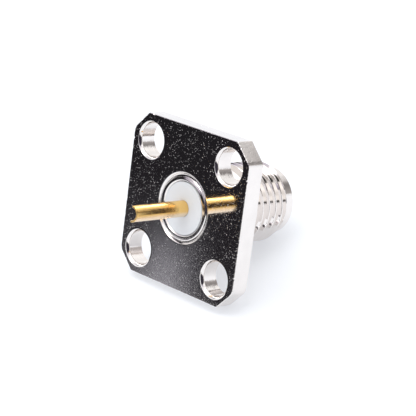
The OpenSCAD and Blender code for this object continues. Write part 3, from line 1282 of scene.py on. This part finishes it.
# How far the floor reaches in front of the jack; the room's own light goes on from there
FLOOR_FRONT = 110 * MM

# Scale of the patches over which the floor's colour drifts, and its colour where it is darkest
FLOOR_PATCHES = 40.0
FLOOR_DARKEST = 0.985


def set_floor(stage):
    """Plain pale floor on which the jack leans on its flange and nose, seen from above only."""
    half = stage.floor_size / 2
    foot = Vector((0, bpy.context.scene.jack_flange.thickness, BODY_LOW.z))
    slope = Vector((0, math.cos(stage.floor_lean), math.sin(stage.floor_lean)))
    side = Vector((1, 0, 0))
    outline = ((-half, -FLOOR_FRONT), (half, -FLOOR_FRONT), (half, half), (-half, half))
    mesh = bpy.data.meshes.new("floor")
    mesh.from_pydata([foot + x * side + y * slope for x, y in outline], [], [range(4)])
    floor = new_object("floor", mesh)

    def shade(light):
        return tuple(part * light for part in stage.floor) + (1,)

    finish = Finish("floor", Roughness=0.9, Specular_IOR_Level=0.1, Emission_Strength=1.0)
    wires = finish.wires
    finish.feed("Base Color", wires.mix(finish.drift(FLOOR_PATCHES), shade(FLOOR_DARKEST), shade(1)))
    # Painted light: the floor's emission, stronger near the jack, lightens its shadows and what the metal
    # mirrors of it
    away = wires.vector("DISTANCE", finish.place, foot).outputs["Value"]
    far = wires.remap(away, *PAINTED_LIGHT_DISTANCES, kind="SMOOTHSTEP")
    finish.feed("Emission Color", wires.mix(far, *map(shade, PAINTED_FLOOR_LIGHT)))
    below = wires.node("ShaderNodeNewGeometry").outputs["Backfacing"]
    clear = wires.node("ShaderNodeBsdfTransparent").outputs[0]
    one_sided = wires.node("ShaderNodeMixShader", {0: below, 1: finish.shader.outputs[0], 2: clear})
    wires.link(one_sided.outputs[0], wires.tree.nodes["Material Output"].inputs["Surface"])
    mesh.materials.append(finish.material)


# Place and width of the key light, in metres
KEY_AT = (-0.06, -0.16, 0.43)
KEY_WIDTH = 0.4


def set_key_light(stage):
    """Large soft light overhead, on the left and in front of the flange."""
    data = bpy.data.lights.new("key", "AREA")
    data.shape = "DISK"
    data.size = KEY_WIDTH
    data.energy = stage.key_power
    light = new_object("key", data)
    light.location = KEY_AT
    light.rotation_mode = "QUATERNION"
    light.rotation_quaternion = light.location.to_track_quat("Z", "Y")
    light.visible_glossy = False


# Operators and panel


class JACK_OT_stage(bpy.types.Operator):
    """Sets the camera, the floor and the studio light"""

    bl_idname = "jack.stage"
    bl_label = "Stage"

    def execute(self, context):
        stage = context.scene.jack_stage
        context.scene.view_settings.view_transform = "Standard"
        set_camera(stage)
        set_world(stage)
        set_floor(stage)
        set_key_light(stage)
        return {"FINISHED"}


class JACK_OT_flanged_body(bpy.types.Operator):
    """Builds the flange and the threaded barrel"""

    bl_idname = "jack.flanged_body"
    bl_label = "Flanged Body"

    def execute(self, context):
        body = flanged_body()
        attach(body, "root")
        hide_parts("flanged_body")
        return {"FINISHED"}


class JACK_OT_insulator(bpy.types.Operator):
    """Builds the white insulator"""

    bl_idname = "jack.insulator"
    bl_label = "Insulator"

    def execute(self, context):
        white = insulator()
        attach(white, "root")
        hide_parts("insulator")
        return {"FINISHED"}


class JACK_OT_centre_contact(bpy.types.Operator):
    """Builds the gold centre contact"""

    bl_idname = "jack.centre_contact"
    bl_label = "Centre Contact"

    def execute(self, context):
        gold = centre_contact()
        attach(gold, "root")
        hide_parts("centre_contact")
        return {"FINISHED"}


class JACK_PT_sidebar(bpy.types.Panel):
    """Lists the steps and their settings"""

    bl_idname = "JACK_PT_sidebar"
    bl_label = "Panel Jack"
    bl_space_type = "VIEW_3D"
    bl_region_type = "UI"
    bl_category = "Panel Jack"

    def draw(self, context):
        for step in OPERATORS:
            self.layout.operator(step.bl_idname)
        for name, group in SETTINGS.items():
            box = self.layout.box()
            for setting in group.__annotations__:
                box.prop(getattr(context.scene, name), setting)


OPERATORS = (JACK_OT_stage, JACK_OT_flanged_body, JACK_OT_insulator, JACK_OT_centre_contact)


def register():
    for made in (*SETTINGS.values(), *OPERATORS, JACK_PT_sidebar):
        bpy.utils.register_class(made)
    for name, group in SETTINGS.items():
        setattr(bpy.types.Scene, name, PointerProperty(type=group))


def unregister():
    for name in SETTINGS:
        delattr(bpy.types.Scene, name)
    for made in reversed((*SETTINGS.values(), *OPERATORS, JACK_PT_sidebar)):
        bpy.utils.unregister_class(made)


def main():
    register()
    bpy.ops.jack.stage()
    bpy.ops.jack.flanged_body()
    bpy.ops.jack.insulator()
    bpy.ops.jack.centre_contact()


if __name__ == "__main__":
    main()
